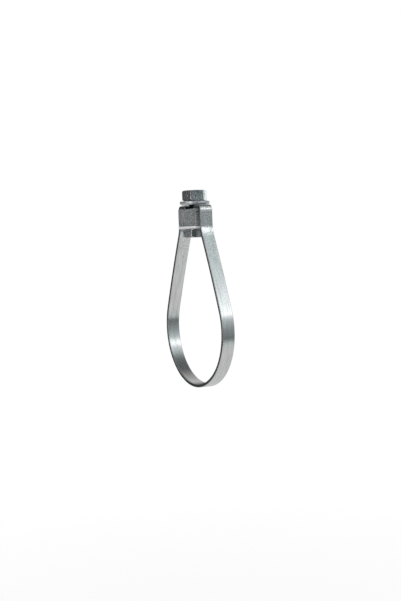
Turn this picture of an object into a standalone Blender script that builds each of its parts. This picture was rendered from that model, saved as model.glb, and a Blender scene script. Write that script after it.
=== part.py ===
"""Pear-shaped pipe clamp of flat steel strip, closed at its neck by a through bolt.

A strip of flat steel hangs as a pear round the pipe. Its two ends rise as an upright neck and
fold in over a solid spacer block. A hexagon bolt goes up through a base plate, the block, the
gap between the folded ends and a thick washer, and a hexagon nut closes the stack on top.

The frame: origin on the bolt's axis at the washer's top face, +Z up, the pipe along Y.
Lengths are in metres.
"""
import math

import bmesh
import bpy
from mathutils import Matrix, Vector

# Band: a flat strip bent to a pear
LOOP_INNER_RADIUS = 0.0427
BAND_THICKNESS = 0.0025
BAND_WIDTH = 0.0104
LEG_LEAN = math.radians(22.0)
NECK_INNER_WIDTH = 0.0297
NECK_HEIGHT = 0.0176
TOP_BEND_RADIUS = 0.0007
SHOULDER_BEND_RADIUS = 0.0066
SHOULDER_LEAN = math.radians(29.0)
NECK_BEND_RADIUS = 0.0200
TAB_END_GAP = 0.0017
TAB_BEVEL = 0.0013
BAND_EDGE_ROUND = 0.0003

# Fastener: hexagon bolt and nut on one thread size
THREAD_DIAMETER = 0.0100
BOLT_LENGTH = 0.0294
HEX_ACROSS_FLATS = 0.0170
HEAD_HEIGHT = 0.0064
NUT_HEIGHT = 0.0080
WASHER_FACE_INSET = 0.0007
WASHER_FACE_HEIGHT = 0.0004
HEX_CHAMFER_SLOPE = math.radians(27.0)
HEX_FACE_INSET = 0.00025
THREAD_END_CHAMFER = 0.0010
NUT_TURN = math.radians(14.4)
HEAD_TURN = math.radians(11.8)

# Washer under the nut
WASHER_DIAMETER = 0.0228
WASHER_THICKNESS = 0.0028
WASHER_LOWER_CHAMFER = 0.0011
WASHER_UPPER_CHAMFER = 0.0003

# Spacer block and base plate inside the neck
BLOCK_WIDTH = 0.0152
BLOCK_HEIGHT = 0.0127
BLOCK_EDGE_ROUND = 0.0004
BLOCK_END_PLAY = 0.00052
PLATE_SIDE_PLAY = 0.00135
PLATE_WIDTH = 0.0160
PLATE_THICKNESS = 0.0020
PLATE_EDGE_ROUND = 0.0005

# Clearances: between faces that rest on each other, and round the bolt
SEAT_GAP = 0.0003
BOLT_HOLE_PLAY = 0.0004
THREAD_PLAY = 0.0003
HOLE_CHAMFER = 0.0006

# Facets of the round forms
LOOP_STEPS = 72
TURNED_STEPS = 48
MERGE = 0.00001
CUTTER_REACH = 0.0020

# Levels of the stack on the bolt's axis, from the washer's top face at zero
NUT_BOTTOM = SEAT_GAP
WASHER_BOTTOM = -WASHER_THICKNESS
BAND_TOP = WASHER_BOTTOM - SEAT_GAP
BLOCK_TOP = BAND_TOP - BAND_THICKNESS - SEAT_GAP
BLOCK_BOTTOM = BLOCK_TOP - BLOCK_HEIGHT
PLATE_TOP = BLOCK_BOTTOM - SEAT_GAP
PLATE_BOTTOM = PLATE_TOP - PLATE_THICKNESS
HEAD_TOP = PLATE_BOTTOM - SEAT_GAP
THREAD_RADIUS = THREAD_DIAMETER / 2
HOLE_RADIUS = THREAD_RADIUS + BOLT_HOLE_PLAY

STEELS = {
    "band_zinc": ((0.60, 0.63, 0.63, 1.0), 0.30),
    "block_zinc": ((0.38, 0.40, 0.40, 1.0), 0.45),
    "plate_zinc": ((0.62, 0.64, 0.65, 1.0), 0.35),
    "fastener_zinc": ((0.42, 0.44, 0.45, 1.0), 0.35),
}


def clear_scene():
    """Remove every object, so that the file holds only the clamp."""
    for old in list(bpy.data.objects):
        bpy.data.objects.remove(old, do_unlink=True)


def make_collection(name):
    """A collection linked to the scene."""
    group = bpy.data.collections.new(name)
    bpy.context.scene.collection.children.link(group)
    return group


def make_steel(name):
    """A plated steel in its own colour and roughness."""
    colour, roughness = STEELS[name]
    steel = bpy.data.materials.new(name)
    steel.use_nodes = True
    shader = steel.node_tree.nodes["Principled BSDF"]
    shader.inputs["Base Color"].default_value = colour
    shader.inputs["Metallic"].default_value = 1.0
    shader.inputs["Roughness"].default_value = roughness
    return steel


def add_object(name, data, group, steel=None):
    """Put a mesh or curve into the scene under a name."""
    item = bpy.data.objects.new(name, data)
    group.objects.link(item)
    if steel is not None:
        data.materials.append(steel)
    return item


def mesh_from(name, build):
    """A mesh that build fills through bmesh."""
    mesh = bpy.data.meshes.new(name)
    work = bmesh.new()
    build(work)
    work.to_mesh(mesh)
    work.free()
    return mesh


def hide_cutter(item):
    """Mark an object as a tool that only shapes others."""
    item.hide_render = True
    item.display_type = "WIRE"
    return item


def bevel(item, width, segments=2):
    """Round the sharp edges of an object."""
    rounding = item.modifiers.new("edge_round", "BEVEL")
    rounding.width = width
    rounding.segments = segments
    rounding.limit_method = "ANGLE"
    rounding.angle_limit = math.radians(50)
    return rounding


def combine(item, tool, operation):
    """Cut, join or trim an object with a tool."""
    cut = item.modifiers.new(operation.lower() + "_" + tool.name, "BOOLEAN")
    cut.operation = operation
    cut.solver = "EXACT"
    cut.object = tool
    return cut


def turned(name, profile, group, steel=None, ring=False):
    """Turn a profile of (radius, height) points about Z; it runs down its outer side."""
    def build(work):
        points = [work.verts.new((radius, 0.0, height)) for radius, height in profile]
        for first, second in zip(points, points[1:]):
            work.edges.new((first, second))
        if ring:
            work.edges.new((points[-1], points[0]))

    item = add_object(name, mesh_from(name, build), group, steel)
    lathe = item.modifiers.new("lathe", "SCREW")
    lathe.angle = math.tau
    lathe.screw_offset = 0.0
    lathe.steps = TURNED_STEPS
    lathe.render_steps = TURNED_STEPS
    lathe.use_merge_vertices = True
    lathe.merge_threshold = MERGE
    return item


def hexagon(name, across_flats, bottom, top, turn, group, steel=None):
    """An upright six-sided prism with a corner at the angle turn from +X."""
    def build(work):
        place = Matrix.Translation((0.0, 0.0, (bottom + top) / 2)) @ Matrix.Rotation(turn, 4, "Z")
        bmesh.ops.create_cone(
            work, cap_ends=True, cap_tris=False, segments=6, depth=top - bottom, matrix=place,
            radius1=across_flats / math.sqrt(3), radius2=across_flats / math.sqrt(3))

    return add_object(name, mesh_from(name, build), group, steel)


def box(name, size, centre, group, steel=None):
    """A block of the given size about its centre."""
    def build(work):
        place = Matrix.Translation(Vector(centre)) @ Matrix.Diagonal((*size, 1.0))
        bmesh.ops.create_cube(work, size=1.0, matrix=place)

    return add_object(name, mesh_from(name, build), group, steel)


def chamfer_form(name, bottom, top, cutters, both_ends):
    """A turned form whose cones take the corners off a hexagon.

    Each cone meets the end face on a circle just inside the flats and falls away outwards at
    the chamfer's slope, so it bites deepest at the six corners.
    """
    flat_radius = HEX_ACROSS_FLATS / 2 - HEX_FACE_INSET
    reach = HEX_ACROSS_FLATS / math.sqrt(3) + CUTTER_REACH
    drop = (reach - flat_radius) * math.tan(HEX_CHAMFER_SLOPE)
    upper = [(0.0, top), (flat_radius, top), (reach, top - drop)]
    lower = [(reach, bottom - CUTTER_REACH), (0.0, bottom - CUTTER_REACH)]
    if both_ends:
        lower = [(reach, bottom + drop), (flat_radius, bottom), (0.0, bottom)]
    return hide_cutter(turned(name, upper + lower, cutters))


def hole_cutter(name, radius, bottom, top, cutters):
    """A cutter for a round hole with a chamfer at both mouths."""
    flare = CUTTER_REACH + HOLE_CHAMFER
    profile = [
        (0.0, top + CUTTER_REACH),
        (radius + flare, top + CUTTER_REACH),
        (radius, top - HOLE_CHAMFER),
        (radius, bottom + HOLE_CHAMFER),
        (radius + flare, bottom - CUTTER_REACH),
        (0.0, bottom - CUTTER_REACH),
    ]
    return hide_cutter(turned(name, profile, cutters))


def rounded_corner(before, corner, after, radius, steps):
    """Points of the arc that replaces a corner of a path, tangent to both its sides."""
    inward = (before - corner).normalized()
    outward = (after - corner).normalized()
    half = inward.angle(outward) / 2
    centre = corner + (inward + outward).normalized() * (radius / math.sin(half))
    start = corner + inward * (radius / math.tan(half)) - centre
    end = corner + outward * (radius / math.tan(half)) - centre
    sweep = start.angle_signed(end)
    return [centre + Matrix.Rotation(-sweep * i / steps, 2) @ start for i in range(steps + 1)]


def band_half_line():
    """The strip's middle line as (x, z), from the folded end on +X down to the loop's foot.

    The end lies flat above the block. It folds down at the knee, a tight bend, and comes upright
    at the shoulder, a gentle one that follows at once. Below the neck it leans out along the leg
    and runs on as the loop, an arc that the leg meets at a tangent.
    """
    half = BAND_THICKNESS / 2
    middle_radius = LOOP_INNER_RADIUS + half
    neck = NECK_INNER_WIDTH / 2 + half
    level = BAND_TOP - half
    gentle = SHOULDER_BEND_RADIUS + half
    tight = TOP_BEND_RADIUS + half
    rise = gentle * math.tan(SHOULDER_LEAN / 2)
    rise += tight * math.tan((math.pi / 2 - SHOULDER_LEAN) / 2)
    knee = Vector((neck - rise * math.sin(SHOULDER_LEAN), level))
    shoulder = Vector((neck, level - rise * math.cos(SHOULDER_LEAN)))
    foot = Vector((neck, BAND_TOP - NECK_HEIGHT))
    tangent_x = middle_radius * math.cos(LEG_LEAN)
    tangent_z = foot.y - (tangent_x - neck) / math.tan(LEG_LEAN)
    centre_z = tangent_z - middle_radius * math.sin(LEG_LEAN)
    tip = Vector((THREAD_RADIUS + TAB_END_GAP, level))
    tangent = Vector((tangent_x, tangent_z))
    line = [tip]
    line += rounded_corner(tip, knee, shoulder, tight, 8)
    line += rounded_corner(knee, shoulder, foot, gentle, 5)[1:]
    line += rounded_corner(shoulder, foot, tangent, NECK_BEND_RADIUS + half, 5)
    sweep = math.pi / 2 + LEG_LEAN
    for i in range(LOOP_STEPS // 2):
        angle = LEG_LEAN - sweep * i / (LOOP_STEPS // 2)
        line.append(Vector((math.cos(angle), math.sin(angle))) * middle_radius + Vector((0.0, centre_z)))
    line.append(Vector((0.0, centre_z - middle_radius)))
    return line


def make_band(group, cutters):
    """The pear-shaped strip, one piece from folded end to folded end."""
    half = band_half_line()
    line = half + [Vector((-point.x, point.y)) for point in reversed(half[:-1])]
    path = bpy.data.curves.new("band_line", "CURVE")
    path.dimensions = "2D"
    path.fill_mode = "NONE"
    path.extrude = BAND_WIDTH / 2
    spline = path.splines.new("POLY")
    spline.points.add(len(line) - 1)
    for point, place in zip(spline.points, line):
        point.co = (place.x, place.y, 0.0, 1.0)
    guide = add_object("band_line", path, cutters)
    guide.rotation_euler = (math.pi / 2, 0.0, 0.0)
    bpy.context.view_layer.update()
    seen = guide.evaluated_get(bpy.context.evaluated_depsgraph_get())
    ribbon = bpy.data.meshes.new_from_object(seen)
    ribbon.name = "loop_band"
    work = bmesh.new()
    work.from_mesh(ribbon)
    bmesh.ops.remove_doubles(work, verts=work.verts, dist=MERGE)
    work.to_mesh(ribbon)
    work.free()
    band = add_object("loop_band", ribbon, group, make_steel("band_zinc"))
    band.matrix_world = guide.matrix_world
    bpy.data.objects.remove(guide, do_unlink=True)
    wall = band.modifiers.new("wall", "SOLIDIFY")
    wall.thickness = BAND_THICKNESS
    wall.offset = 0.0
    wall.use_even_offset = True
    bevel(band, BAND_EDGE_ROUND)
    for side in (1, -1):
        combine(band, make_tab_bevel(side, cutters), "DIFFERENCE")
    return band


def make_tab_bevel(side, cutters):
    """A square bar turned by 45 degrees that slopes off the upper edge of a folded end.

    Its working face passes through the slope's middle, and its body lies above and outside.
    """
    bar = TAB_BEVEL * math.sqrt(2) + 2 * CUTTER_REACH
    slope_middle_x = THREAD_RADIUS + TAB_END_GAP + TAB_BEVEL / 2
    slope_middle_z = BAND_TOP - TAB_BEVEL / 2
    set_off = bar / 2 / math.sqrt(2)

    def build(work):
        place = Matrix.Translation((side * (slope_middle_x - set_off), 0.0, slope_middle_z + set_off))
        place = place @ Matrix.Rotation(math.radians(45), 4, "Y")
        place = place @ Matrix.Diagonal((bar, BAND_WIDTH + 2 * CUTTER_REACH, bar, 1.0))
        bmesh.ops.create_cube(work, size=1.0, matrix=place)

    name = "tab_bevel_cutter_" + ("right" if side > 0 else "left")
    return hide_cutter(add_object(name, mesh_from(name, build), cutters))


def make_block(group, cutters):
    """The spacer block that fills the neck, bored for the bolt and clear of the strip's bends.

    Its ends stay inside the place where the shoulder's bend has leant in to the knee.
    """
    lean_in = SHOULDER_BEND_RADIUS * (1 - math.cos(SHOULDER_LEAN))
    length = NECK_INNER_WIDTH - 2 * (lean_in + BLOCK_END_PLAY)
    centre = (0.0, 0.0, (BLOCK_TOP + BLOCK_BOTTOM) / 2)
    size = (length, BLOCK_WIDTH, BLOCK_HEIGHT)
    block = box("clamp_block", size, centre, group, make_steel("block_zinc"))
    bevel(block, BLOCK_EDGE_ROUND, 3)
    hole = hole_cutter("block_hole_cutter", HOLE_RADIUS, BLOCK_BOTTOM, BLOCK_TOP, cutters)
    combine(block, hole, "DIFFERENCE")
    return block


def make_plate(group, cutters):
    """The base plate between the block and the bolt's head."""
    centre = (0.0, 0.0, (PLATE_TOP + PLATE_BOTTOM) / 2)
    length = NECK_INNER_WIDTH - 2 * PLATE_SIDE_PLAY
    size = (length, PLATE_WIDTH, PLATE_THICKNESS)
    plate = box("base_plate", size, centre, group, make_steel("plate_zinc"))
    bevel(plate, PLATE_EDGE_ROUND)
    hole = hole_cutter("plate_hole_cutter", HOLE_RADIUS, PLATE_BOTTOM, PLATE_TOP, cutters)
    combine(plate, hole, "DIFFERENCE")
    return plate


def make_washer(group):
    """The thick washer, its lower rim sloped off."""
    rim = WASHER_DIAMETER / 2
    profile = [
        (HOLE_RADIUS, 0.0),
        (rim - WASHER_UPPER_CHAMFER, 0.0),
        (rim, -WASHER_UPPER_CHAMFER),
        (rim, WASHER_BOTTOM + WASHER_LOWER_CHAMFER),
        (rim - WASHER_LOWER_CHAMFER, WASHER_BOTTOM),
        (HOLE_RADIUS, WASHER_BOTTOM),
    ]
    return turned("top_washer", profile, group, make_steel("plate_zinc"), ring=True)


def make_bolt(group, cutters):
    """The hexagon bolt: head down inside the loop, shank up through the stack."""
    bottom = HEAD_TOP - HEAD_HEIGHT
    hex_top = HEAD_TOP - WASHER_FACE_HEIGHT
    bolt = hexagon("hex_bolt", HEX_ACROSS_FLATS, bottom, hex_top, HEAD_TURN, group,
                   make_steel("fastener_zinc"))
    trim = chamfer_form("head_chamfer_cutter", -hex_top, -bottom, cutters, both_ends=False)
    trim.rotation_euler = (math.pi, 0.0, 0.0)
    combine(bolt, trim, "INTERSECT")
    end = HEAD_TOP + BOLT_LENGTH
    face = HEX_ACROSS_FLATS / 2 - WASHER_FACE_INSET
    profile = [
        (0.0, end),
        (THREAD_RADIUS - THREAD_END_CHAMFER, end),
        (THREAD_RADIUS, end - THREAD_END_CHAMFER),
        (THREAD_RADIUS, HEAD_TOP),
        (face, HEAD_TOP),
        (face, (bottom + hex_top) / 2),
        (0.0, (bottom + hex_top) / 2),
    ]
    combine(bolt, hide_cutter(turned("shank_joiner", profile, cutters)), "UNION")
    return bolt


def make_nut(group, cutters):
    """The hexagon nut on top, chamfered at both ends and bored for the thread."""
    top = NUT_BOTTOM + NUT_HEIGHT
    nut = hexagon("hex_nut", HEX_ACROSS_FLATS, NUT_BOTTOM, top, NUT_TURN, group,
                  make_steel("fastener_zinc"))
    trim = chamfer_form("nut_chamfer_cutter", NUT_BOTTOM, top, cutters, both_ends=True)
    combine(nut, trim, "INTERSECT")
    bore = hole_cutter("nut_bore_cutter", THREAD_RADIUS + THREAD_PLAY, NUT_BOTTOM, top, cutters)
    combine(nut, bore, "DIFFERENCE")
    return nut


def add_axis(name, group):
    """An empty on the bolt's axis that carries the pieces turning about it."""
    axis = bpy.data.objects.new(name, None)
    axis.empty_display_size = 0.01
    group.objects.link(axis)
    return axis


def shade(item):
    """Smooth the round faces and keep the real edges sharp."""
    item.data.shade_smooth()
    item.data.set_sharp_from_angle(angle=math.radians(35))


def main():
    """Build the clamp and hang each piece on the axis it turns about."""
    clear_scene()
    group = make_collection("pear_pipe_clamp")
    cutters = make_collection("cutters")
    loop_axis = add_axis("loop_swivel_axis", group)
    nut_axis = add_axis("nut_axis", group)
    bolt_axis = add_axis("bolt_axis", group)
    pieces = {
        loop_axis: [make_band(group, cutters), make_block(group, cutters), make_plate(group, cutters)],
        bolt_axis: [make_bolt(group, cutters), make_washer(group)],
        nut_axis: [make_nut(group, cutters)],
    }
    for axis, items in pieces.items():
        for item in items:
            item.parent = axis
            shade(item)


main()
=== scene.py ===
"""Looks of a pear-shaped pipe clamp: fine meshes, plated steels, studio and camera.

The file is laid out as an add-on, with one operator for each piece or pair of pieces and one
for the stage. Run as a script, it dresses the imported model, whose nodes give the sizes and
places. Lengths are in metres, +Z is up and the pipe runs along Y.
"""

import math

import bpy
import numpy as np
from mathutils import Matrix, Vector


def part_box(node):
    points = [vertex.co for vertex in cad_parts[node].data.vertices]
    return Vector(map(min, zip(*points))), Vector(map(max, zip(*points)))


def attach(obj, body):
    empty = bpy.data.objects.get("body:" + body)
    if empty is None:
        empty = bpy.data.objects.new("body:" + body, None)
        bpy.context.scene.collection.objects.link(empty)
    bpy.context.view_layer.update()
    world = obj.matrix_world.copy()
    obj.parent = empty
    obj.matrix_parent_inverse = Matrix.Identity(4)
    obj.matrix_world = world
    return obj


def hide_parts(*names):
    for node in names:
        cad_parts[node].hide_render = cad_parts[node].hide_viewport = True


bl_info = {
    "name": "Pear pipe clamp",
    "version": (1, 0, 0),
    "blender": (4, 5, 0),
    "location": "3D View > Sidebar > Clamp",
    "description": "Strip loop, block, plate, washer, bolt and nut of a pipe clamp, in a studio",
    "category": "Add Mesh",
}

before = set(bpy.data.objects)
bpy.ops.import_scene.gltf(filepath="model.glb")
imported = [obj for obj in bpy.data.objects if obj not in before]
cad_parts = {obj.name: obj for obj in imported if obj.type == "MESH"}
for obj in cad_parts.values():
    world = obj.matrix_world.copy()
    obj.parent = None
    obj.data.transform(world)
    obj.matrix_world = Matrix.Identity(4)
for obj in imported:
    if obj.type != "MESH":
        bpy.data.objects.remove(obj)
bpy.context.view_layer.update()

STRIP_LOW, STRIP_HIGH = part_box("loop_band")
BLOCK_LOW, BLOCK_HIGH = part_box("clamp_block")
PLATE_LOW, PLATE_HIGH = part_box("base_plate")
WASHER_LOW, WASHER_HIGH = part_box("top_washer")
BOLT_LOW, BOLT_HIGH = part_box("hex_bolt")
NUT_LOW, NUT_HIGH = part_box("hex_nut")

FULL_TURN = 2 * math.pi
QUARTER = math.pi / 2

# Runs of the strip's course, in order, and how many rings of points each is cut into
SIDE_RINGS = [5, 18, 12, 12, 10, 14, 56]
LOOP_RINGS = 240
COURSE_STEPS = 60000

# Where the cut edge's finish begins and is full: shares of the strip's half width, and metres
# from its two tips
CUT_EDGE = (0.88, 0.97)
CUT_END = (0.0006, 0.0002)

# Where the bolt's shank is darkened with painted shade: out to this radius, below the nut and above
# the head
SHANK_SHADE_REACH = (0.0052, 0.0058)
SHANK_SHADE_TOP = (-0.0020, 0.0)
SHANK_SHADE_FOOT = (-0.0216, -0.0211)

# Where the strip is worn smooth, up to where it is speckled
WORN_HEIGHTS = (-0.055, -0.022)

# The studio as metal sees it: grey at the sine of the elevation, -1 down and 1 up
RIGHT_WALL = [
    (-0.55, 0.80), (-0.35, 0.76), (-0.31, 0.06), (-0.25, 0.12), (-0.18, 0.28), (0.0, 0.36),
    (0.14, 0.56), (0.24, 0.66), (0.50, 0.76), (0.60, 0.84), (0.70, 0.67), (0.80, 0.18),
    (1.0, 0.10)]
NEAR_WALL = [
    (-0.55, 0.80), (-0.40, 0.08), (-0.20, 0.02), (0.15, 0.03), (0.4, 0.30), (0.7, 0.55),
    (1.0, 0.20)]
BACKDROP = [(-0.6, 0.80), (-0.4, 0.60), (-0.2, 0.80), (0.3, 0.80), (0.7, 0.50), (1.0, 0.15)]
WING = [(-0.6, 0.80), (-0.25, 0.60), (-0.05, 0.30), (0.08, 0.04), (1.0, 0.04)]
RIGHT_TINT = (0.89, 1.0, 1.02)

# Name, azimuth and elevation in degrees, distance, width and height, and radiance
SOFTBOXES = [
    ("softbox_right", 30.0, 26.0, 1.6, (1.5, 0.30), 1.15),
    ("softbox_left", -68.0, 6.0, 1.0, (0.70, 0.80), 1.5),
    ("softbox_side", -134.0, 0.0, 1.2, (0.34, 0.8), 0.36),
    ("softbox_back", 118.0, 8.0, 1.2, (0.5, 0.7), 0.65),
]


class StripSettings(bpy.types.PropertyGroup):
    """Sizes of the bent strip that the frame's boxes don't give."""

    thickness: bpy.props.FloatProperty(
        name="Thickness", description="Thickness of the strip", default=0.0025, unit="LENGTH")
    leg_lean: bpy.props.FloatProperty(
        name="Leg lean", description="Lean of the two legs from upright at their upper ends",
        default=math.radians(24.0), subtype="ANGLE")
    loop_lean: bpy.props.FloatProperty(
        name="Loop lean", description="Lean of the legs where they meet the round loop",
        default=math.radians(20.0), subtype="ANGLE")
    neck_width: bpy.props.FloatProperty(
        name="Neck width", description="Outside width of the upright neck", default=0.0355,
        unit="LENGTH")
    knee_radius: bpy.props.FloatProperty(
        name="Knee radius", description="Inside radius of the tight bend by the folded end",
        default=0.0005, unit="LENGTH")
    shoulder_radius: bpy.props.FloatProperty(
        name="Shoulder radius", description="Inside radius of the gentle bend above the neck",
        default=0.0060, unit="LENGTH")
    shoulder_lean: bpy.props.FloatProperty(
        name="Shoulder lean", description="Lean of the strip where the two bends meet",
        default=math.radians(22.0), subtype="ANGLE")
    foot_radius: bpy.props.FloatProperty(
        name="Foot radius", description="Radius on the outer side of the bend below the neck",
        default=0.0090, unit="LENGTH")
    foot_lean: bpy.props.FloatProperty(
        name="Foot lean", description="Lean of the strip where the foot's bend grows gentle",
        default=math.radians(12.0), subtype="ANGLE")
    calf_radius: bpy.props.FloatProperty(
        name="Calf radius", description="Radius on the outer side of the gentle bend below",
        default=0.0350, unit="LENGTH")
    end_reach: bpy.props.FloatProperty(
        name="End reach", description="From the bolt's axis to the tip of a folded end",
        default=0.0067, unit="LENGTH")
    end_bevel: bpy.props.FloatProperty(
        name="End bevel", description="Slope on the upper edge of a folded end", default=0.0013,
        unit="LENGTH")
    edge_radius: bpy.props.FloatProperty(
        name="Edge radius", description="Rounding of the strip's long edges", default=0.00050,
        unit="LENGTH")


class StackSettings(bpy.types.PropertyGroup):
    """Sizes of the block, plate and washer that the frame's boxes don't give."""

    hole_radius: bpy.props.FloatProperty(
        name="Hole radius", description="Radius of the bolt's hole", default=0.0054, unit="LENGTH")
    hole_chamfer: bpy.props.FloatProperty(
        name="Hole chamfer", description="Slope at a hole's mouth", default=0.0006, unit="LENGTH")
    block_edge: bpy.props.FloatProperty(
        name="Block edge", description="Rounding of the block's edges", default=0.0004,
        unit="LENGTH")
    plate_edge: bpy.props.FloatProperty(
        name="Plate edge", description="Rounding of the plate's edges", default=0.0007,
        unit="LENGTH")
    washer_slope: bpy.props.FloatProperty(
        name="Washer slope", description="Slope on the washer's lower rim", default=0.0011,
        unit="LENGTH")
    washer_edge: bpy.props.FloatProperty(
        name="Washer edge", description="Slope on the washer's upper rim", default=0.0003,
        unit="LENGTH")


class FastenerSettings(bpy.types.PropertyGroup):
    """Sizes of the bolt and the nut that the frame's boxes don't give."""

    across_flats: bpy.props.FloatProperty(
        name="Across flats", description="Width of the hexagons over two flats", default=0.0170,
        unit="LENGTH")
    head_height: bpy.props.FloatProperty(
        name="Head height", description="Height of the bolt's head", default=0.0064,
        unit="LENGTH")
    face_height: bpy.props.FloatProperty(
        name="Washer face height", description="Height of the round face on the head",
        default=0.0004, unit="LENGTH")
    face_radius: bpy.props.FloatProperty(
        name="Washer face radius", description="Radius of the round face on the head",
        default=0.0078, unit="LENGTH")
    chamfer_slope: bpy.props.FloatProperty(
        name="Chamfer slope", description="Slope of the cones that cut the hexagons' corners",
        default=math.radians(27.0), subtype="ANGLE")
    chamfer_inset: bpy.props.FloatProperty(
        name="Chamfer inset", description="From a flat in to the circle where the cone starts",
        default=0.00025, unit="LENGTH")
    nut_turn: bpy.props.FloatProperty(
        name="Nut turn", description="Angle of the nut's first corner from +X",
        default=math.radians(14.4), subtype="ANGLE")
    head_turn: bpy.props.FloatProperty(
        name="Head turn", description="Angle of the head's first corner from +X",
        default=math.radians(11.8), subtype="ANGLE")
    corner_radius: bpy.props.FloatProperty(
        name="Corner radius", description="Rounding of the hexagons' upright edges",
        default=0.0008, unit="LENGTH")
    thread_crest: bpy.props.FloatProperty(
        name="Thread crest", description="Radius of the bolt's thread over its crests",
        default=0.00495, unit="LENGTH")
    thread_depth: bpy.props.FloatProperty(
        name="Thread depth", description="Depth of the thread", default=0.00085, unit="LENGTH")
    thread_pitch: bpy.props.FloatProperty(
        name="Thread pitch", description="Rise of the thread in one turn", default=0.0015,
        unit="LENGTH")
    plain_shank: bpy.props.FloatProperty(
        name="Plain shank", description="Length under the head without thread", default=0.0030,
        unit="LENGTH")
    end_chamfer: bpy.props.FloatProperty(
        name="End chamfer", description="Slope at the end of the thread", default=0.0010,
        unit="LENGTH")
    bore_crest: bpy.props.FloatProperty(
        name="Bore crest", description="Radius of the nut's bore inside its thread",
        default=0.00510, unit="LENGTH")
    bore_depth: bpy.props.FloatProperty(
        name="Bore depth", description="Depth of the nut's thread", default=0.00060,
        unit="LENGTH")
    bore_mouth: bpy.props.FloatProperty(
        name="Bore mouth", description="Radius of the nut's countersink", default=0.0059,
        unit="LENGTH")


class FinishSettings(bpy.types.PropertyGroup):
    """Colours of the plated steels."""

    strip_colour: bpy.props.FloatVectorProperty(
        name="Strip", description="Zinc on the rolled strip", default=(0.63, 0.63, 0.625),
        subtype="COLOR")
    sheared_colour: bpy.props.FloatVectorProperty(
        name="Sheared edge", description="Zinc on the strip's cut edges",
        default=(0.44, 0.45, 0.46), subtype="COLOR")
    block_colour: bpy.props.FloatVectorProperty(
        name="Block", description="Dull zinc on the block", default=(0.34, 0.355, 0.36),
        subtype="COLOR")
    washer_colour: bpy.props.FloatVectorProperty(
        name="Washer", description="Zinc on the washer", default=(0.62, 0.64, 0.66),
        subtype="COLOR")
    plate_colour: bpy.props.FloatVectorProperty(
        name="Plate", description="Bright, matt zinc on the base plate",
        default=(0.90, 0.90, 0.91), subtype="COLOR")
    fastener_colour: bpy.props.FloatVectorProperty(
        name="Bolt and nut", description="Zinc on the bolt and the nut",
        default=(0.46, 0.49, 0.50), subtype="COLOR")


class StageSettings(bpy.types.PropertyGroup):
    """Where the camera stands and how the studio is lit."""

    azimuth: bpy.props.FloatProperty(
        name="Azimuth", description="Camera's angle round the clamp, from -Y towards +X",
        default=math.radians(61.2), subtype="ANGLE")
    elevation: bpy.props.FloatProperty(
        name="Elevation", description="Camera's angle above the loop's centre",
        default=math.radians(4.9), subtype="ANGLE")
    roll: bpy.props.FloatProperty(
        name="Roll", description="Turn of the camera about its line of sight",
        default=math.radians(-2.0), subtype="ANGLE")
    distance: bpy.props.FloatProperty(
        name="Distance", description="From the camera to the loop's centre", default=0.789,
        unit="LENGTH")
    pixel: bpy.props.FloatProperty(
        name="Pixel", description="Size at the loop of one pixel of the picture",
        default=0.000775, unit="LENGTH")
    floor_drop: bpy.props.FloatProperty(
        name="Floor drop", description="From the loop's foot down to the floor", default=0.22,
        unit="LENGTH")
    floor_radius: bpy.props.FloatProperty(
        name="Floor radius", description="Radius of the round floor", default=0.55, unit="LENGTH")


def unit(vectors):
    """The vectors at length one."""
    return vectors / np.linalg.norm(vectors, axis=-1, keepdims=True)


def smooth_step(values, low, high):
    """Nought below low, one above high, and 3t^2 - 2t^3 between."""
    share = np.clip((values - low) / (high - low), 0.0, 1.0)
    return share * share * (3.0 - 2.0 * share)


def sleeve_faces(rings, stations, closed):
    """Quads between neighbouring rings of points, and fans to two poles unless it is closed.

    Point j of ring i has the number i * stations + j. The poles follow the last ring.
    """
    ring, station = np.meshgrid(
        np.arange(rings if closed else rings - 1), np.arange(stations), indexing="ij")
    along = (ring + 1) % rings
    beside = (station + 1) % stations
    quads = np.stack([
        ring * stations + station, along * stations + station,
        along * stations + beside, ring * stations + beside], axis=-1).reshape(-1, 4)
    if closed:
        return quads, np.zeros((0, 3), int)
    here = np.arange(stations)
    there = (here + 1) % stations
    first, last = rings * stations, rings * stations + 1
    end = (rings - 1) * stations
    low = np.stack([np.full(stations, first), here, there], axis=-1)
    high = np.stack([np.full(stations, last), end + there, end + here], axis=-1)
    return quads, np.concatenate([low, high])


def points_outwards(points, quads):
    """Whether the quads enclose a positive volume, summed over cones from the origin."""
    a, b, c, d = (points[quads[:, k]] for k in range(4))
    volume = np.einsum("ij,ij->", a, np.cross(b, c)) + np.einsum("ij,ij->", a, np.cross(c, d))
    return volume > 0


def make_sleeve(name, rings, closed, material):
    """A closed mesh from rings of points, as an array of (rings, stations, 3)."""
    count, stations, _ = rings.shape
    points = rings.reshape(-1, 3)
    if not closed:
        points = np.concatenate([points, rings[:1].mean(axis=1), rings[-1:].mean(axis=1)])
    quads, fans = sleeve_faces(count, stations, closed)
    if not points_outwards(points, quads):
        quads, fans = quads[:, ::-1], fans[:, ::-1]
    mesh = bpy.data.meshes.new(name)
    mesh.from_pydata(points.tolist(), [], quads.tolist() + fans.tolist())
    mesh.validate()
    mesh.shade_smooth()
    mesh.materials.append(material)
    piece = bpy.data.objects.new(name, mesh)
    bpy.context.scene.collection.objects.link(piece)
    return piece


def stand_for(piece, node, body):
    """Let a piece stand for a node, whose part it hides, and ride on its body."""
    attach(piece, body)
    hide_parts(node)


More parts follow.
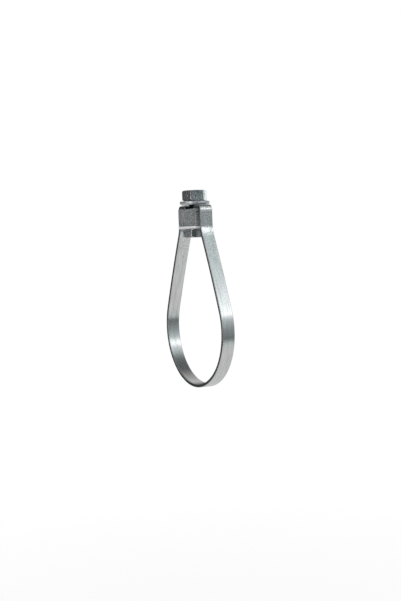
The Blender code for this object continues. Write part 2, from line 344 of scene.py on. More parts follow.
def ease_corners(lines, reaches, steps=4):
    """Round the corners of many closed section lines at once.

    A corner C gives way to the curve (1-t)^2 A + 2t(1-t) C + t^2 B, where A and B lie the
    corner's reach before and after it, at most 0.35 of the side. One more point beyond A and
    beyond B keeps the flats flat. A corner with a reach of nought stays as it is.
    """
    parts = []
    share = np.linspace(0.0, 1.0, steps + 1)[None, :, None]
    for i, reach in enumerate(reaches):
        here = lines[:, i, None]
        if reach == 0:
            parts.append(here)
            continue
        sides = []
        for neighbour in (i - 1, (i + 1) % len(reaches)):
            side = lines[:, neighbour, None] - here
            length = np.linalg.norm(side, axis=-1, keepdims=True)
            sides.append(side / length * np.minimum(reach, 0.35 * length))
        start, end = here + sides[0], here + sides[1]
        curve = (1 - share) ** 2 * start + 2 * share * (1 - share) * here + share ** 2 * end
        parts += [here + sides[0] * 1.3, curve, here + sides[1] * 1.3]
    return np.concatenate(parts, axis=1)


def round_polygon(corners, radius, arc_steps, side_steps):
    """Points and outward normals round a convex polygon, anticlockwise, its corners as arcs.

    An arc's centre lies in from its corner along both normals, and its points stand off it by
    the radius at even angles. Side points lie between the arcs, with one close to each arc.
    """
    corners = np.asarray(corners, float)
    run = unit(np.roll(corners, -1, axis=0) - corners)
    after = np.stack([run[:, 1], -run[:, 0]], axis=1)
    before = np.roll(after, 1, axis=0)
    lean = 1 + np.sum(before * after, axis=1, keepdims=True)
    centres = corners - (before + after) / lean * radius
    start = np.arctan2(before[:, 1], before[:, 0])
    sweep = np.mod(np.arctan2(after[:, 1], after[:, 0]) - start, FULL_TURN)
    angle = start[:, None] + sweep[:, None] * np.linspace(0.0, 1.0, arc_steps + 1)
    arc_normals = np.stack([np.cos(angle), np.sin(angle)], axis=-1)
    arcs = centres[:, None] + radius * arc_normals
    share = np.concatenate([[0.02], np.linspace(0, 1, side_steps + 2)[1:-1], [0.98]])
    side = arcs[:, -1:] + (np.roll(arcs, -1, axis=0)[:, :1] - arcs[:, -1:]) * share[:, None]
    side_normals = np.repeat(after[:, None], len(share), axis=1)
    points = np.concatenate([arcs, side], axis=1).reshape(-1, 2)
    normals = np.concatenate([arc_normals, side_normals], axis=1).reshape(-1, 2)
    return points, normals


def hexagon(across_flats, turn, radius):
    """Points round a hexagon with one corner at the angle turn from +X."""
    angle = turn + np.arange(6) * FULL_TURN / 6
    corners = np.stack([np.cos(angle), np.sin(angle)], axis=1) * across_flats / math.sqrt(3)
    return round_polygon(corners, radius, 4, 12)[0]


def at_height(plan, height):
    """Plan points (x, y) raised to a height, which may differ from point to point."""
    return np.concatenate([plan, np.broadcast_to(height, (len(plan),))[:, None]], axis=1)


def thread(turns, heights, crest, depth, pitch):
    """Radius of a screw thread at each height and angle, as an array of (heights, angles).

    Along a pitch it goes from crest to root and back in straight flanks, with narrow flats:
    crest - depth * clip(1.25 |2p - 1| - 0.125), where p is the height in pitches less the
    angle in turns, without its whole part.
    """
    phase = np.mod(heights[:, None] / pitch - turns[None, :] / FULL_TURN, 1.0)
    return crest - depth * np.clip(1.25 * np.abs(2 * phase - 1) - 0.125, 0.0, 1.0)


def turned_points(turns, radii, heights):
    """Points at radii (heights, angles) about Z."""
    return np.stack([
        radii * np.cos(turns), radii * np.sin(turns),
        np.broadcast_to(heights[:, None], radii.shape)], axis=-1)


def strip_course(strip):
    """The strip's middle line from the +X folded end round the loop to the -X end.

    The line is a chain of runs, each with a length and a turn: end, knee, shoulder, neck, foot,
    calf, leg, loop, and the same back again. Its heading changes evenly along a run, and its
    points are the sum of short steps along the heading. A run of length s whose lean goes from
    a to b moves out by s (cos b - cos a) / (a - b) and down by s (sin a - sin b) / (a - b), so
    the leg's length follows from the loop's start, and the neck's from the strip's height.
    Returns the distances where the runs meet, and dense arrays of distance, point (x, z) and
    heading.
    """
    half = strip.thickness / 2
    loop_radius = STRIP_HIGH.x - half
    neck_x = strip.neck_width / 2 - half
    knee = strip.knee_radius + half
    shoulder = strip.shoulder_radius + half
    lean = strip.shoulder_lean
    knee_reach = knee * math.cos(lean) + shoulder * (1 - math.cos(lean))
    knee_drop = knee * (1 - math.sin(lean)) + shoulder * math.sin(lean)
    foot, calf = strip.foot_radius + half, strip.calf_radius + half
    first, top, low = strip.foot_lean, strip.leg_lean, strip.loop_lean
    bend_reach = foot * (1 - math.cos(first)) + calf * (math.cos(first) - math.cos(top))
    bend_drop = foot * math.sin(first) + calf * (math.sin(top) - math.sin(first))
    leg = (loop_radius * math.cos(low) - neck_x - bend_reach) * (top - low) / (
        math.cos(low) - math.cos(top))
    leg_drop = leg * (math.sin(top) - math.sin(low)) / (top - low)
    fall = STRIP_HIGH.z - half - STRIP_LOW.z - STRIP_HIGH.x - loop_radius * math.sin(low)
    side = [
        (neck_x - knee_reach - strip.end_reach, 0.0),
        (knee * (QUARTER - lean), lean - QUARTER),
        (shoulder * lean, -lean),
        (fall - knee_drop - bend_drop - leg_drop, 0.0),
        (foot * first, first),
        (calf * (top - first), top - first),
        (leg, low - top),
    ]
    sweep = math.pi + 2 * low
    runs = np.array(side + [(loop_radius * sweep, -sweep)] + side[::-1])
    joints = np.concatenate([[0.0], np.cumsum(runs[:, 0])])
    headings = np.concatenate([[0.0], np.cumsum(runs[:, 1])])
    along = np.linspace(0.0, joints[-1], COURSE_STEPS + 1)
    heading = np.interp(along, joints, headings)
    middle = (heading[1:] + heading[:-1]) / 2
    steps = np.stack([np.cos(middle), np.sin(middle)], axis=1) * (along[1] - along[0])
    start = np.array([[strip.end_reach, STRIP_HIGH.z - half]])
    line = np.concatenate([start, start + np.cumsum(steps, axis=0)])
    return joints, along, line, heading


def strip_section(strip):
    """Points (across, out) round the strip's cross-section, a flat bar with round edges."""
    width = (STRIP_HIGH.y - STRIP_LOW.y) / 2
    half = strip.thickness / 2
    corners = [(width, -half), (width, half), (-width, half), (-width, -half)]
    return round_polygon(corners, strip.edge_radius, 5, 8)[0]


def make_strip(strip, material):
    """The bent strip: its section carried along the course, each end rounded and bevelled.

    The outer side's edge at an end slopes back by as much as it lies above the bevel's foot.
    Each end closes with rings that shrink to its middle, stepping out along a quarter circle.
    """
    joints, along, line, heading = strip_course(strip)
    section = strip_section(strip)
    counts = SIDE_RINGS + [LOOP_RINGS] + SIDE_RINGS[::-1]
    stations = np.concatenate(
        [np.linspace(a, b, n, endpoint=False) for a, b, n in zip(joints, joints[1:], counts)]
        + [joints[-1:]])
    edge = strip.edge_radius
    angle = np.linspace(0.0, QUARTER, 5)
    inset = np.concatenate([
        edge * (1 - np.cos(angle)), edge + strip.thickness * np.array([0.12, 0.3])])
    step_out = np.concatenate([edge * np.sin(angle), [edge, edge]])
    half_sizes = section.max(axis=0)
    shrink = 1 - inset[:, None] / half_sizes
    cap = section[None] * np.clip(shrink, 0.02, 1.0)[:, None]
    foot_of_bevel = strip.thickness / 2 - strip.end_bevel
    body = np.broadcast_to(section, (len(stations),) + section.shape)
    rings = np.concatenate([cap[::-1], body[1:-1], cap])
    distance = np.concatenate([
        np.repeat((edge - step_out)[::-1, None], len(section), axis=1),
        np.repeat(stations[1:-1, None], len(section), axis=1),
        joints[-1] - np.repeat((edge - step_out)[:, None], len(section), axis=1)])
    slope = np.maximum(rings[..., 1] - foot_of_bevel, 0.0)
    distance = np.maximum(distance, slope)
    distance = np.minimum(distance, joints[-1] - slope)
    centre_x = np.interp(distance, along, line[:, 0])
    centre_z = np.interp(distance, along, line[:, 1])
    turn = np.interp(distance, along, heading)
    out_x, out_z = -np.sin(turn), np.cos(turn)
    points = np.stack([
        centre_x + rings[..., 1] * out_x, rings[..., 0], centre_z + rings[..., 1] * out_z], axis=-1)
    piece = make_sleeve("strip_loop", points, False, material)
    girth = np.cumsum(np.linalg.norm(np.roll(section, -1, axis=0) - section, axis=1))
    write_strip_layout(piece, points, distance, girth, rings)
    return piece


def write_strip_layout(piece, points, distance, girth, rings):
    """Give the strip a UV map and an attribute that marks its sheared edges.

    The map's first value is the distance along the strip and its second the distance across
    it, both in metres. The attribute is one on the cut edges and the ends, nought on the faces.
    """
    mesh = piece.data
    count = points.shape[0] * points.shape[1]
    across = rings[..., 0]
    flat = np.concatenate([np.stack([distance.ravel(), across.ravel()], axis=1), np.zeros((2, 2))])
    flat[count] = (distance[0].mean(), 0.0)
    flat[count + 1] = (distance[-1].mean(), 0.0)
    corner_points = np.zeros(len(mesh.loops), np.int32)
    mesh.loops.foreach_get("vertex_index", corner_points)
    layer = mesh.uv_layers.new(name="along_strip")
    layer.uv.foreach_set("vector", flat[corner_points].astype(np.float32).ravel())
    width = STRIP_HIGH.y
    begin, full = CUT_EDGE
    cut = np.concatenate([
        smooth_step(np.abs(across), width * begin, width * full).ravel(), [1.0, 1.0]])
    ends = np.minimum(distance, distance.max() - distance)
    begin, full = CUT_END
    cut[:count] = np.maximum(cut[:count], 1 - smooth_step(ends.ravel(), full, begin))
    mark = mesh.attributes.new("sheared", "FLOAT", "POINT")
    mark.data.foreach_set("value", cut.astype(np.float32))


def make_bored_bar(name, low, high, edge, stack, material):
    """A rectangular bar between two corners with a chamfered hole down its middle.

    The section line at each point of the outline goes from the hole's mouth over the top face,
    round the edge, down the side, back under the bottom face and up the hole. The inner ring on
    the two flat faces lies past the centres of the corners' arcs, so near the corners some flat
    faces fold over. A ring no more than one edge radius in would keep them flat.
    """
    corners = [(high.x, low.y), (high.x, high.y), (low.x, high.y), (low.x, low.y)]
    plan, normal = round_polygon(corners, edge, 5, 8)
    spoke = unit(plan)
    mouth = spoke * (stack.hole_radius + stack.hole_chamfer)
    bore = spoke * stack.hole_radius
    inner = plan - normal * edge * 2.2
    lines = np.stack([
        at_height(mouth, high.z), at_height(inner, high.z), at_height(plan, high.z),
        at_height(plan, low.z), at_height(inner, low.z), at_height(mouth, low.z),
        at_height(bore, low.z + stack.hole_chamfer),
        at_height(bore, high.z - stack.hole_chamfer)], axis=1)
    reaches = [0.0001, 0, edge, edge, 0, 0.0001, 0.0001, 0.0001]
    rings = ease_corners(lines, reaches, 5).transpose(1, 0, 2)
    return make_sleeve(name, rings, True, material)


def make_washer(stack, material):
    """The washer: a turned ring with sloped rims."""
    angle = np.linspace(0.0, FULL_TURN, 121)[:-1]
    spoke = np.stack([np.cos(angle), np.sin(angle)], axis=1)
    rim = WASHER_HIGH.x
    top, bottom = WASHER_HIGH.z, WASHER_LOW.z
    profile = [
        (stack.hole_radius, top), (rim - stack.washer_edge, top), (rim, top - stack.washer_edge),
        (rim, bottom + stack.washer_slope), (rim - stack.washer_slope, bottom),
        (stack.hole_radius, bottom)]
    lines = np.stack([at_height(spoke * radius, height) for radius, height in profile], axis=1)
    reaches = [0.0002, 0.0001, 0.0001, 0.00025, 0.00025, 0.0002]
    rings = ease_corners(lines, reaches).transpose(1, 0, 2)
    return make_sleeve("thick_washer", rings, True, material)


def chamfer_drop(plan, fastener):
    """How far the cone on a hexagon's end lies below the end face at each outline point."""
    start = fastener.across_flats / 2 - fastener.chamfer_inset
    return start, (np.linalg.norm(plan, axis=1) - start) * math.tan(fastener.chamfer_slope)


def make_nut(fastener, material):
    """The nut: a hexagon whose ends are cut by cones, with a threaded bore."""
    plan = hexagon(fastener.across_flats, fastener.nut_turn, fastener.corner_radius)
    start, drop = chamfer_drop(plan, fastener)
    spoke = unit(plan)
    top, bottom = NUT_HIGH.z, NUT_LOW.z
    lines = np.stack([
        at_height(spoke * fastener.bore_mouth, top), at_height(spoke * start, top),
        at_height(plan, top - drop), at_height(plan, bottom + drop),
        at_height(spoke * start, bottom), at_height(spoke * fastener.bore_mouth, bottom)], axis=1)
    shell = ease_corners(lines, [0.0001, 0.0003, 0.0002, 0.0002, 0.0003, 0.0001])
    turns = np.arctan2(plan[:, 1], plan[:, 0])
    heights = np.linspace(bottom + 0.0001, top - 0.0001, 76)
    radii = 2 * fastener.bore_crest + fastener.bore_depth - thread(
        turns, heights, fastener.bore_crest + fastener.bore_depth, fastener.bore_depth,
        fastener.thread_pitch)
    mouth = fastener.bore_mouth - np.minimum(heights - bottom, top - heights)
    bore = turned_points(turns, np.maximum(radii, mouth[:, None]), heights)
    rings = np.concatenate([shell.transpose(1, 0, 2), bore])
    return make_sleeve("hexagon_nut", rings, True, material)


def make_bolt(fastener, material):
    """The bolt: a chamfered head with a round washer face, and a threaded shank."""
    plan = hexagon(fastener.across_flats, fastener.head_turn, fastener.corner_radius)
    start, drop = chamfer_drop(plan, fastener)
    spoke = unit(plan)
    bottom, end = BOLT_LOW.z, BOLT_HIGH.z
    seat = bottom + fastener.head_height
    flange = seat - fastener.face_height
    crest = fastener.thread_crest
    lines = np.stack([
        at_height(spoke * 0.001, bottom), at_height(spoke * start, bottom),
        at_height(plan, bottom + drop), at_height(plan, flange),
        at_height(spoke * fastener.face_radius, flange),
        at_height(spoke * fastener.face_radius, seat),
        at_height(spoke * crest, seat), at_height(spoke * crest, seat + fastener.plain_shank)],
        axis=1)
    head = ease_corners(lines, [0, 0.0004, 0.00025, 0.00025, 0.0001, 0.0001, 0.0004, 0])
    turns = np.arctan2(plan[:, 1], plan[:, 0])
    heights = np.linspace(seat + fastener.plain_shank + 0.0002, end, 220)
    run_in = smooth_step(heights, heights[0], heights[0] + 2 * fastener.thread_pitch)
    radii = crest - run_in[:, None] * (
        crest - thread(turns, heights, crest, fastener.thread_depth, fastener.thread_pitch))
    radii = np.minimum(radii, (crest - fastener.end_chamfer + end - heights)[:, None])
    shank = turned_points(turns, radii, heights)
    tip = at_height(spoke * (crest - fastener.end_chamfer) * 0.5, end)[None]
    rings = np.concatenate([head.transpose(1, 0, 2), shank, tip])
    return make_sleeve("hexagon_bolt", rings, False, material)


def add_node(tree, kind, inputs=(), **settings):
    """Add a shader node. Inputs are pairs of a socket and a value or another socket."""
    made = tree.nodes.new(kind)
    for key, value in settings.items():
        setattr(made, key, value)
    for key, value in inputs:
        if isinstance(value, bpy.types.NodeSocket):
            tree.links.new(value, made.inputs[key])
        else:
            made.inputs[key].default_value = value
    return made


def new_steel(name, metallic=1.0):
    """A metal material and its shader, with the tree ready for patterns.

    A matt coat of zinc scatters light, so it is metallic only in part.
    """
    material = bpy.data.materials.new(name)
    material.use_nodes = True
    tree = material.node_tree
    shader = tree.nodes["Principled BSDF"]
    shader.inputs["Metallic"].default_value = metallic
    return material, tree, shader


def noise(tree, vector, scale, detail=3.0, roughness=0.55, distortion=0.0):
    """A soft random pattern with so many features to a metre."""
    made = add_node(tree, "ShaderNodeTexNoise", [
        ("Vector", vector), ("Scale", scale), ("Detail", detail), ("Roughness", roughness),
        ("Distortion", distortion)])
    return made.outputs["Fac"]


def spread(tree, value, low, high, to_low, to_high):
    """Map a range of a pattern onto another range, held at its ends."""
    made = add_node(tree, "ShaderNodeMapRange", [
        ("Value", value), ("From Min", low), ("From Max", high), ("To Min", to_low),
        ("To Max", to_high)])
    return made.outputs["Result"]


def blend(tree, factor, first, second, mode="MIX"):
    """Mix two colours, each a socket or (r, g, b)."""
    made = add_node(tree, "ShaderNodeMix", data_type="RGBA", blend_type=mode)
    for index, value in ((0, factor), (6, first), (7, second)):
        if isinstance(value, bpy.types.NodeSocket):
            tree.links.new(value, made.inputs[index])
        else:
            made.inputs[index].default_value = value if index == 0 else (*value, 1.0)
    return made.outputs[2]


def tinted(colour, factor):
    """A colour times a factor, or times three of them."""
    return tuple(np.array(colour) * np.array(factor))


def bump(tree, shader, height, distance):
    """Let a pattern stand out of the surface by a distance."""
    made = add_node(tree, "ShaderNodeBump", [
        ("Height", height), ("Distance", distance), ("Strength", 1.0)])
    tree.links.new(made.outputs["Normal"], shader.inputs["Normal"])


def combined(tree, operation, first, *others):
    """Several patterns or numbers joined one after another by an operation."""
    for value in others:
        first = add_node(
            tree, "ShaderNodeMath", [(0, first), (1, value)], operation=operation).outputs[0]
    return first


def scaled(tree, value, factor):
    """A pattern times a number."""
    return combined(tree, "MULTIPLY", value, factor)


def add_up(tree, *shares):
    """The sum of patterns, each given with its factor."""
    return combined(tree, "ADD", *(scaled(tree, value, factor) for value, factor in shares))


def reach_from_axis(tree, place):
    """The distance of a place from the bolt's axis."""
    flat = add_node(
        tree, "ShaderNodeVectorMath", [(0, place), (1, (1.0, 1.0, 0.0))], operation="MULTIPLY")
    reach = add_node(tree, "ShaderNodeVectorMath", [(0, flat.outputs[0])], operation="LENGTH")
    return reach.outputs["Value"]


def grey_colour(tree, level):
    """The grey of a level."""
    made = add_node(tree, "ShaderNodeCombineColor", [(0, level), (1, level), (2, level)])
    return made.outputs["Color"]


def stretched(tree, layout, along, across):
    """The strip's layout with so many features to a metre along it and across it."""
    made = add_node(
        tree, "ShaderNodeMapping", [("Vector", layout), ("Scale", (along, across, 1.0))])
    return made.outputs["Vector"]


def ray_kinds(tree):
    """Whether a ray comes from the camera, and whether a mirror or a glass sent it."""
    path = add_node(tree, "ShaderNodeLightPath")
    mirror = combined(
        tree, "MAXIMUM", path.outputs["Is Glossy Ray"], path.outputs["Is Transmission Ray"])
    return path.outputs["Is Camera Ray"], mirror


def strip_steel(finish):
    """Zinc on rolled strip: fine lines along it, speckle about its neck and duller cut edges."""
    material, tree, shader = new_steel("strip_zinc")
    layout = add_node(tree, "ShaderNodeUVMap", uv_map="along_strip").outputs["UV"]
    place = add_node(tree, "ShaderNodeTexCoord").outputs["Object"]

    def sharpened(pattern):
        return spread(tree, pattern, 0.36, 0.64, 0.0, 1.0)

    lines = sharpened(noise(tree, stretched(tree, layout, 60.0, 2600.0), 1.0, 3.0))
    broad = sharpened(noise(tree, stretched(tree, layout, 45.0, 420.0), 1.0, 2.0))
    speckle = sharpened(noise(tree, place, 900.0, 2.0, 0.6))
    cloud = spread(tree, noise(tree, place, 90.0, 3.0, 0.6), 0.35, 0.65, 0.0, 1.0)
    cut = add_node(tree, "ShaderNodeAttribute", attribute_name="sheared").outputs["Fac"]
    base = finish.strip_colour
    hue = blend(tree, cloud, tinted(base, (0.96, 1.0, 0.985)), tinted(base, (1.02, 0.99, 1.01)))
    height = add_node(tree, "ShaderNodeSeparateXYZ", [(0, place)]).outputs[2]
    worn = spread(tree, height, *WORN_HEIGHTS, 0.20, 1.0)
    mixed = blend(tree, worn, (0.5, 0.5, 0.5), speckle)
    shade = add_up(tree, (lines, 0.25), (broad, 0.20), (mixed, 0.55))
    level = spread(tree, shade, 0.15, 0.85, 0.70, 1.30)
    face = blend(tree, 1.0, hue, grey_colour(tree, level), "MULTIPLY")
    colour = blend(tree, cut, face, tuple(finish.sheared_colour))
    tree.links.new(colour, shader.inputs["Base Color"])
    smooth = spread(tree, shade, 0.15, 0.85, 0.27, 0.17)
    rough = combined(tree, "ADD", scaled(tree, cut, 0.04), smooth)
    tree.links.new(rough, shader.inputs["Roughness"])
    bump(tree, shader, shade, 0.00006)
    return material


def painted_shank_shade(tree, place, shank_shade_share):
    """The share of light that the shank keeps under its painted shade, and one where the bolt has
    none.
    """
    height = add_node(tree, "ShaderNodeSeparateXYZ", [(0, place)]).outputs[2]
    return combined(
        tree, "MAXIMUM",
        spread(tree, reach_from_axis(tree, place), *SHANK_SHADE_REACH, shank_shade_share, 1.0),
        spread(tree, height, *SHANK_SHADE_TOP, shank_shade_share, 1.0),
        spread(tree, height, *SHANK_SHADE_FOOT, 1.0, shank_shade_share))


def mottled_steel(name, colour, roughness, contrast, grain, relief, metallic=1.0, shank_shade_share=None):
    """Dull zinc: clouds of light and dark over a fine grain, with the grain in relief.

    The contrast is how far the darkest and the lightest spots are from the colour, the grain
    is how many there are to a metre, and the relief is their height. The shank's share, where it
    is given, is the share of light that the bolt's shank keeps under its painted shade.
    """
    material, tree, shader = new_steel(name, metallic)
    place = add_node(tree, "ShaderNodeTexCoord").outputs["Object"]
    patch = noise(tree, place, grain, 4.0, 0.65, 0.6)
    fine = noise(tree, place, grain * 1.8, 3.0, 0.6)
    cloud = noise(tree, place, grain * 0.22, 2.0)
    shade = add_up(tree, (patch, 0.45), (fine, 0.4), (cloud, 0.15))
    level = spread(tree, shade, 0.40, 0.60, 1.0 - contrast, 1.0 + contrast)
    # Painted shade: the bolt's shank darkened where it shows between the washer and the block.
    if shank_shade_share is not None:
        level = combined(tree, "MULTIPLY", level, painted_shank_shade(tree, place, shank_shade_share))
    hue = blend(tree, spread(tree, cloud, 0.35, 0.65, 0.0, 1.0),
                tinted(colour, (0.97, 1.01, 1.0)), tinted(colour, (1.02, 0.99, 1.0)))
    colour = blend(tree, 1.0, hue, grey_colour(tree, level), "MULTIPLY")
    tree.links.new(colour, shader.inputs["Base Color"])
    rough = spread(tree, shade, 0.38, 0.62, roughness + 0.08, roughness - 0.08)
    tree.links.new(rough, shader.inputs["Roughness"])
    bump(tree, shader, shade, relief)
    return material


def paper(stage):
    """Pale paper that shows as white, most of all towards its rim, and still takes shadows."""
    material = bpy.data.materials.new("floor_paper")
    material.use_nodes = True
    tree = material.node_tree
    shader = tree.nodes["Principled BSDF"]
    shader.inputs["Base Color"].default_value = (0.80, 0.80, 0.80, 1.0)
    shader.inputs["Roughness"].default_value = 0.9
    shader.inputs["Specular IOR Level"].default_value = 0.0
    glow = add_node(
        tree, "ShaderNodeEmission", [("Color", (1.0, 1.0, 1.0, 1.0)), ("Strength", 1.0)])
    place = add_node(tree, "ShaderNodeTexCoord").outputs["Object"]
    rim = stage.floor_radius
    share = spread(tree, reach_from_axis(tree, place), 0.3 * rim, 0.9 * rim, 0.92, 1.0)
    camera, mirror = ray_kinds(tree)
    seen = combined(tree, "MULTIPLY", camera, share)
    white = combined(tree, "ADD", seen, scaled(tree, mirror, 0.5))
    mixed = add_node(tree, "ShaderNodeMixShader", [
        (0, white), (1, shader.outputs[0]), (2, glow.outputs[0])])
    tree.links.new(mixed.outputs[0], tree.nodes["Material Output"].inputs["Surface"])
    return material


def make_floor(stage):
    """A round pale floor well below the hanging clamp: rings of points about the bolt's axis."""
    height = STRIP_LOW.z - stage.floor_drop
    radii = np.linspace(0.0, stage.floor_radius, 9)[1:]
    turns = np.linspace(0.0, FULL_TURN, 65)[:-1]
    points = turned_points(turns, np.repeat(radii[:, None], len(turns), axis=1),
                           np.full(len(radii), height)).reshape(-1, 3)
    quads, fans = sleeve_faces(len(radii), len(turns), False)
    points = np.concatenate([points, [[0.0, 0.0, height]]])
    mesh = bpy.data.meshes.new("floor")
    mesh.from_pydata(points.tolist(), [], quads.tolist() + fans[:len(turns), ::-1].tolist())
    mesh.materials.append(paper(stage))
    floor = bpy.data.objects.new("floor", mesh)
    bpy.context.scene.collection.objects.link(floor)


def aim(item, place, target):
    """Stand an object at a place, facing a target."""
    item.location = place
    item.rotation_mode = "QUATERNION"
    item.rotation_quaternion = (Vector(target) - Vector(place)).to_track_quat("-Z", "Y")


def direction(azimuth, elevation):
    """A unit vector at an azimuth from +X towards +Y and an elevation, both in degrees."""
    turn, rise = math.radians(azimuth), math.radians(elevation)
    level = math.cos(rise)
    return Vector((math.cos(turn) * level, math.sin(turn) * level, math.sin(rise)))


def add_softbox(name, azimuth, elevation, distance, size, radiance):
    """A soft area light round the clamp, its power worked out from the light it sends out."""
    light = bpy.data.lights.new(name, "AREA")
    light.shape = "RECTANGLE"
    light.size, light.size_y = size
    light.energy = radiance * math.pi * size[0] * size[1]
    lamp = bpy.data.objects.new(name, light)
    bpy.context.scene.collection.objects.link(lamp)
    centre = Vector((0.0, 0.0, STRIP_LOW.z / 2))
    aim(lamp, centre + direction(azimuth, elevation) * distance, centre)
    lamp.visible_camera = False
    return lamp


def ramp(tree, value, stops):
    """A grey ramp over the sine of the elevation, from -1 to 1."""
    made = add_node(tree, "ShaderNodeValToRGB", [(0, spread(tree, value, -1.0, 1.0, 0.0, 1.0))])
    band = made.color_ramp
    while len(band.elements) < len(stops):
        band.elements.new(0.5)
    for element, (place, grey) in zip(band.elements, stops):
        element.position = (place + 1) / 2
        element.color = (grey, grey, grey, 1.0)
    return made.outputs["Color"]


def make_world():
    """White to the camera; to metal, the studio: pale floor, dark gap, lit walls, grey ceiling."""
    world = bpy.data.worlds.new("studio")
    bpy.context.scene.world = world
    world.use_nodes = True
    tree = world.node_tree
    tree.nodes.clear()
    way = add_node(tree, "ShaderNodeTexCoord").outputs["Generated"]
    axes = add_node(tree, "ShaderNodeSeparateXYZ", [(0, way)])
    x, y, z = axes.outputs
    near, backdrop, wing = (ramp(tree, z, stops) for stops in (NEAR_WALL, BACKDROP, WING))
    right = blend(tree, 1.0, ramp(tree, z, RIGHT_WALL), RIGHT_TINT, "MULTIPLY")
    far = blend(tree, spread(tree, x, -0.35, -0.10, 0.0, 1.0), backdrop, right)
    far = blend(tree, spread(tree, x, -0.90, -0.76, 0.0, 1.0), wing, far)
    studio = blend(tree, spread(tree, y, -0.11, -0.05, 0.0, 1.0), near, far)
    camera, mirror = ray_kinds(tree)
    seen = blend(tree, mirror, (0.55, 0.55, 0.55), studio)
    seen = blend(tree, camera, seen, (1.0, 1.0, 1.0))
    light = add_node(tree, "ShaderNodeBackground", [("Color", seen), ("Strength", 1.0)])
    out = add_node(tree, "ShaderNodeOutputWorld")
    tree.links.new(light.outputs[0], out.inputs["Surface"])


def make_camera(stage):
    """The camera at the photograph's angle, its centre of view on the loop's centre.

    The lens follows from the distance and the size of a pixel at the loop. The shift puts the
    loop's centre where the photograph has it.
    """
    picture = Vector((401.0, 601.0))
    loop_place = Vector((198.65, 328.3))
    out = Vector((
        math.sin(stage.azimuth) * math.cos(stage.elevation),
        -math.cos(stage.azimuth) * math.cos(stage.elevation), math.sin(stage.elevation)))
    level = Vector((math.cos(stage.azimuth), math.sin(stage.azimuth), 0.0))
    upright = out.cross(level)
    across = level * math.cos(stage.roll) + upright * math.sin(stage.roll)
    up = upright * math.cos(stage.roll) - level * math.sin(stage.roll)
    centre = Vector((0.0, 0.0, STRIP_LOW.z + STRIP_HIGH.x))
    data = bpy.data.cameras.new("camera")
    data.sensor_width = 36.0
    data.lens = data.sensor_width * stage.distance / (stage.pixel * picture.y)
    data.shift_x = ((picture.x - 1) / 2 - loop_place.x) / picture.y
    data.shift_y = (loop_place.y - (picture.y - 1) / 2) / picture.y
    data.clip_start = 0.01
    data.clip_end = 20.0
    camera = bpy.data.objects.new("camera", data)
    bpy.context.scene.collection.objects.link(camera)
    camera.matrix_world = Matrix.Translation(centre + out * stage.distance) @ Matrix(
        (across, up, out)).transposed().to_4x4()
    bpy.context.scene.camera = camera


class CLAMP_OT_strip(bpy.types.Operator):
    """Bend the flat strip to its pear"""

    bl_idname = "clamp.strip"
    bl_label = "Strip loop"

    def execute(self, context):
        scene = context.scene
        piece = make_strip(scene.clamp_strip, strip_steel(scene.clamp_finish))
        stand_for(piece, "loop_band", "loop")
        return {"FINISHED"}


class CLAMP_OT_block(bpy.types.Operator):
    """Make the bored block and the base plate below it"""

    bl_idname = "clamp.block"
    bl_label = "Block and plate"

    def execute(self, context):
        scene = context.scene
        stack, finish = scene.clamp_stack, scene.clamp_finish
        dull = mottled_steel(
            "block_zinc_dull", finish.block_colour, roughness=0.42, contrast=0.65, grain=700.0,
            relief=0.00030, metallic=0.35)
        block = make_bored_bar("spacer_block", BLOCK_LOW, BLOCK_HIGH, stack.block_edge, stack, dull)
        stand_for(block, "clamp_block", "loop")
        bright = mottled_steel(
            "plate_zinc_bright", finish.plate_colour, roughness=0.45, contrast=0.10, grain=500.0,
            relief=0.00003, metallic=0.15)
        plate = make_bored_bar("seat_plate", PLATE_LOW, PLATE_HIGH, stack.plate_edge, stack, bright)
        stand_for(plate, "base_plate", "loop")
        return {"FINISHED"}


class CLAMP_OT_washer(bpy.types.Operator):
    """Turn the thick washer"""

    bl_idname = "clamp.washer"
    bl_label = "Washer"

    def execute(self, context):
        scene = context.scene
        steel = mottled_steel(
            "washer_zinc", scene.clamp_finish.washer_colour, roughness=0.46, contrast=0.50,
            grain=700.0, relief=0.00024, metallic=0.8)
        stand_for(make_washer(scene.clamp_stack, steel), "top_washer", "bolt")
        return {"FINISHED"}


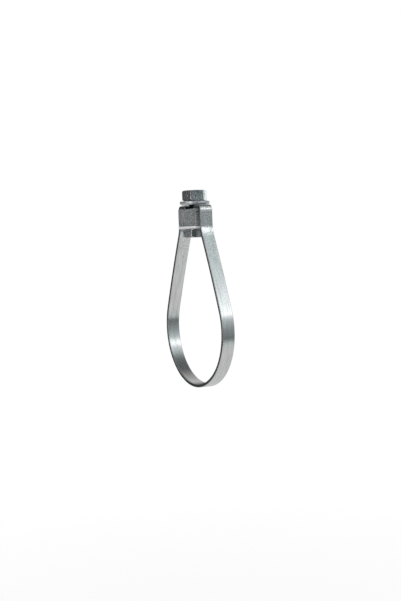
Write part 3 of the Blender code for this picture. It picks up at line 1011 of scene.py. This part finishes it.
class CLAMP_OT_fastener(bpy.types.Operator):
    """Forge and thread the bolt and its nut"""

    bl_idname = "clamp.fastener"
    bl_label = "Bolt and nut"

    def execute(self, context):
        scene = context.scene
        fastener = scene.clamp_fastener
        colour = scene.clamp_finish.fastener_colour
        # The bolt's shank carries painted shade, keeping this share of its light.
        smooth = mottled_steel(
            "bolt_zinc_plated", colour, roughness=0.16, contrast=0.45, grain=700.0,
            relief=0.00008, shank_shade_share=0.12)
        stand_for(make_bolt(fastener, smooth), "hex_bolt", "bolt")
        rough = mottled_steel(
            "nut_zinc_plated", colour, roughness=0.14, contrast=0.70, grain=800.0, relief=0.00026)
        stand_for(make_nut(fastener, rough), "hex_nut", "nut")
        return {"FINISHED"}


class CLAMP_OT_stage(bpy.types.Operator):
    """Set the floor, the studio's light and the camera"""

    bl_idname = "clamp.stage"
    bl_label = "Stage"

    def execute(self, context):
        stage = context.scene.clamp_stage
        make_floor(stage)
        make_world()
        for softbox in SOFTBOXES:
            add_softbox(*softbox)
        make_camera(stage)
        context.scene.view_settings.view_transform = "Standard"
        return {"FINISHED"}


class CLAMP_PT_panel(bpy.types.Panel):
    """The clamp's pieces and sizes in the sidebar"""

    bl_label = "Pear pipe clamp"
    bl_idname = "CLAMP_PT_panel"
    bl_space_type = "VIEW_3D"
    bl_region_type = "UI"
    bl_category = "Clamp"

    def draw(self, context):
        for operator in OPERATORS:
            self.layout.operator(operator.bl_idname)
        for name in SETTINGS:
            box = self.layout.box()
            group = getattr(context.scene, name)
            for key in group.__annotations__:
                box.prop(group, key)


OPERATORS = (CLAMP_OT_strip, CLAMP_OT_block, CLAMP_OT_washer, CLAMP_OT_fastener, CLAMP_OT_stage)
SETTINGS = {
    "clamp_strip": StripSettings,
    "clamp_stack": StackSettings,
    "clamp_fastener": FastenerSettings,
    "clamp_finish": FinishSettings,
    "clamp_stage": StageSettings,
}


def register():
    """Register the classes and hang the settings on the scene."""
    for kind in (*SETTINGS.values(), *OPERATORS, CLAMP_PT_panel):
        bpy.utils.register_class(kind)
    for name, kind in SETTINGS.items():
        setattr(bpy.types.Scene, name, bpy.props.PointerProperty(type=kind))


def unregister():
    """Take the settings and the classes away again."""
    for name in SETTINGS:
        delattr(bpy.types.Scene, name)
    for kind in reversed((*SETTINGS.values(), *OPERATORS, CLAMP_PT_panel)):
        bpy.utils.unregister_class(kind)


def main():
    """Make every piece and the stage."""
    register()
    bpy.ops.clamp.strip()
    bpy.ops.clamp.block()
    bpy.ops.clamp.washer()
    bpy.ops.clamp.fastener()
    bpy.ops.clamp.stage()


if __name__ == "__main__":
    main()
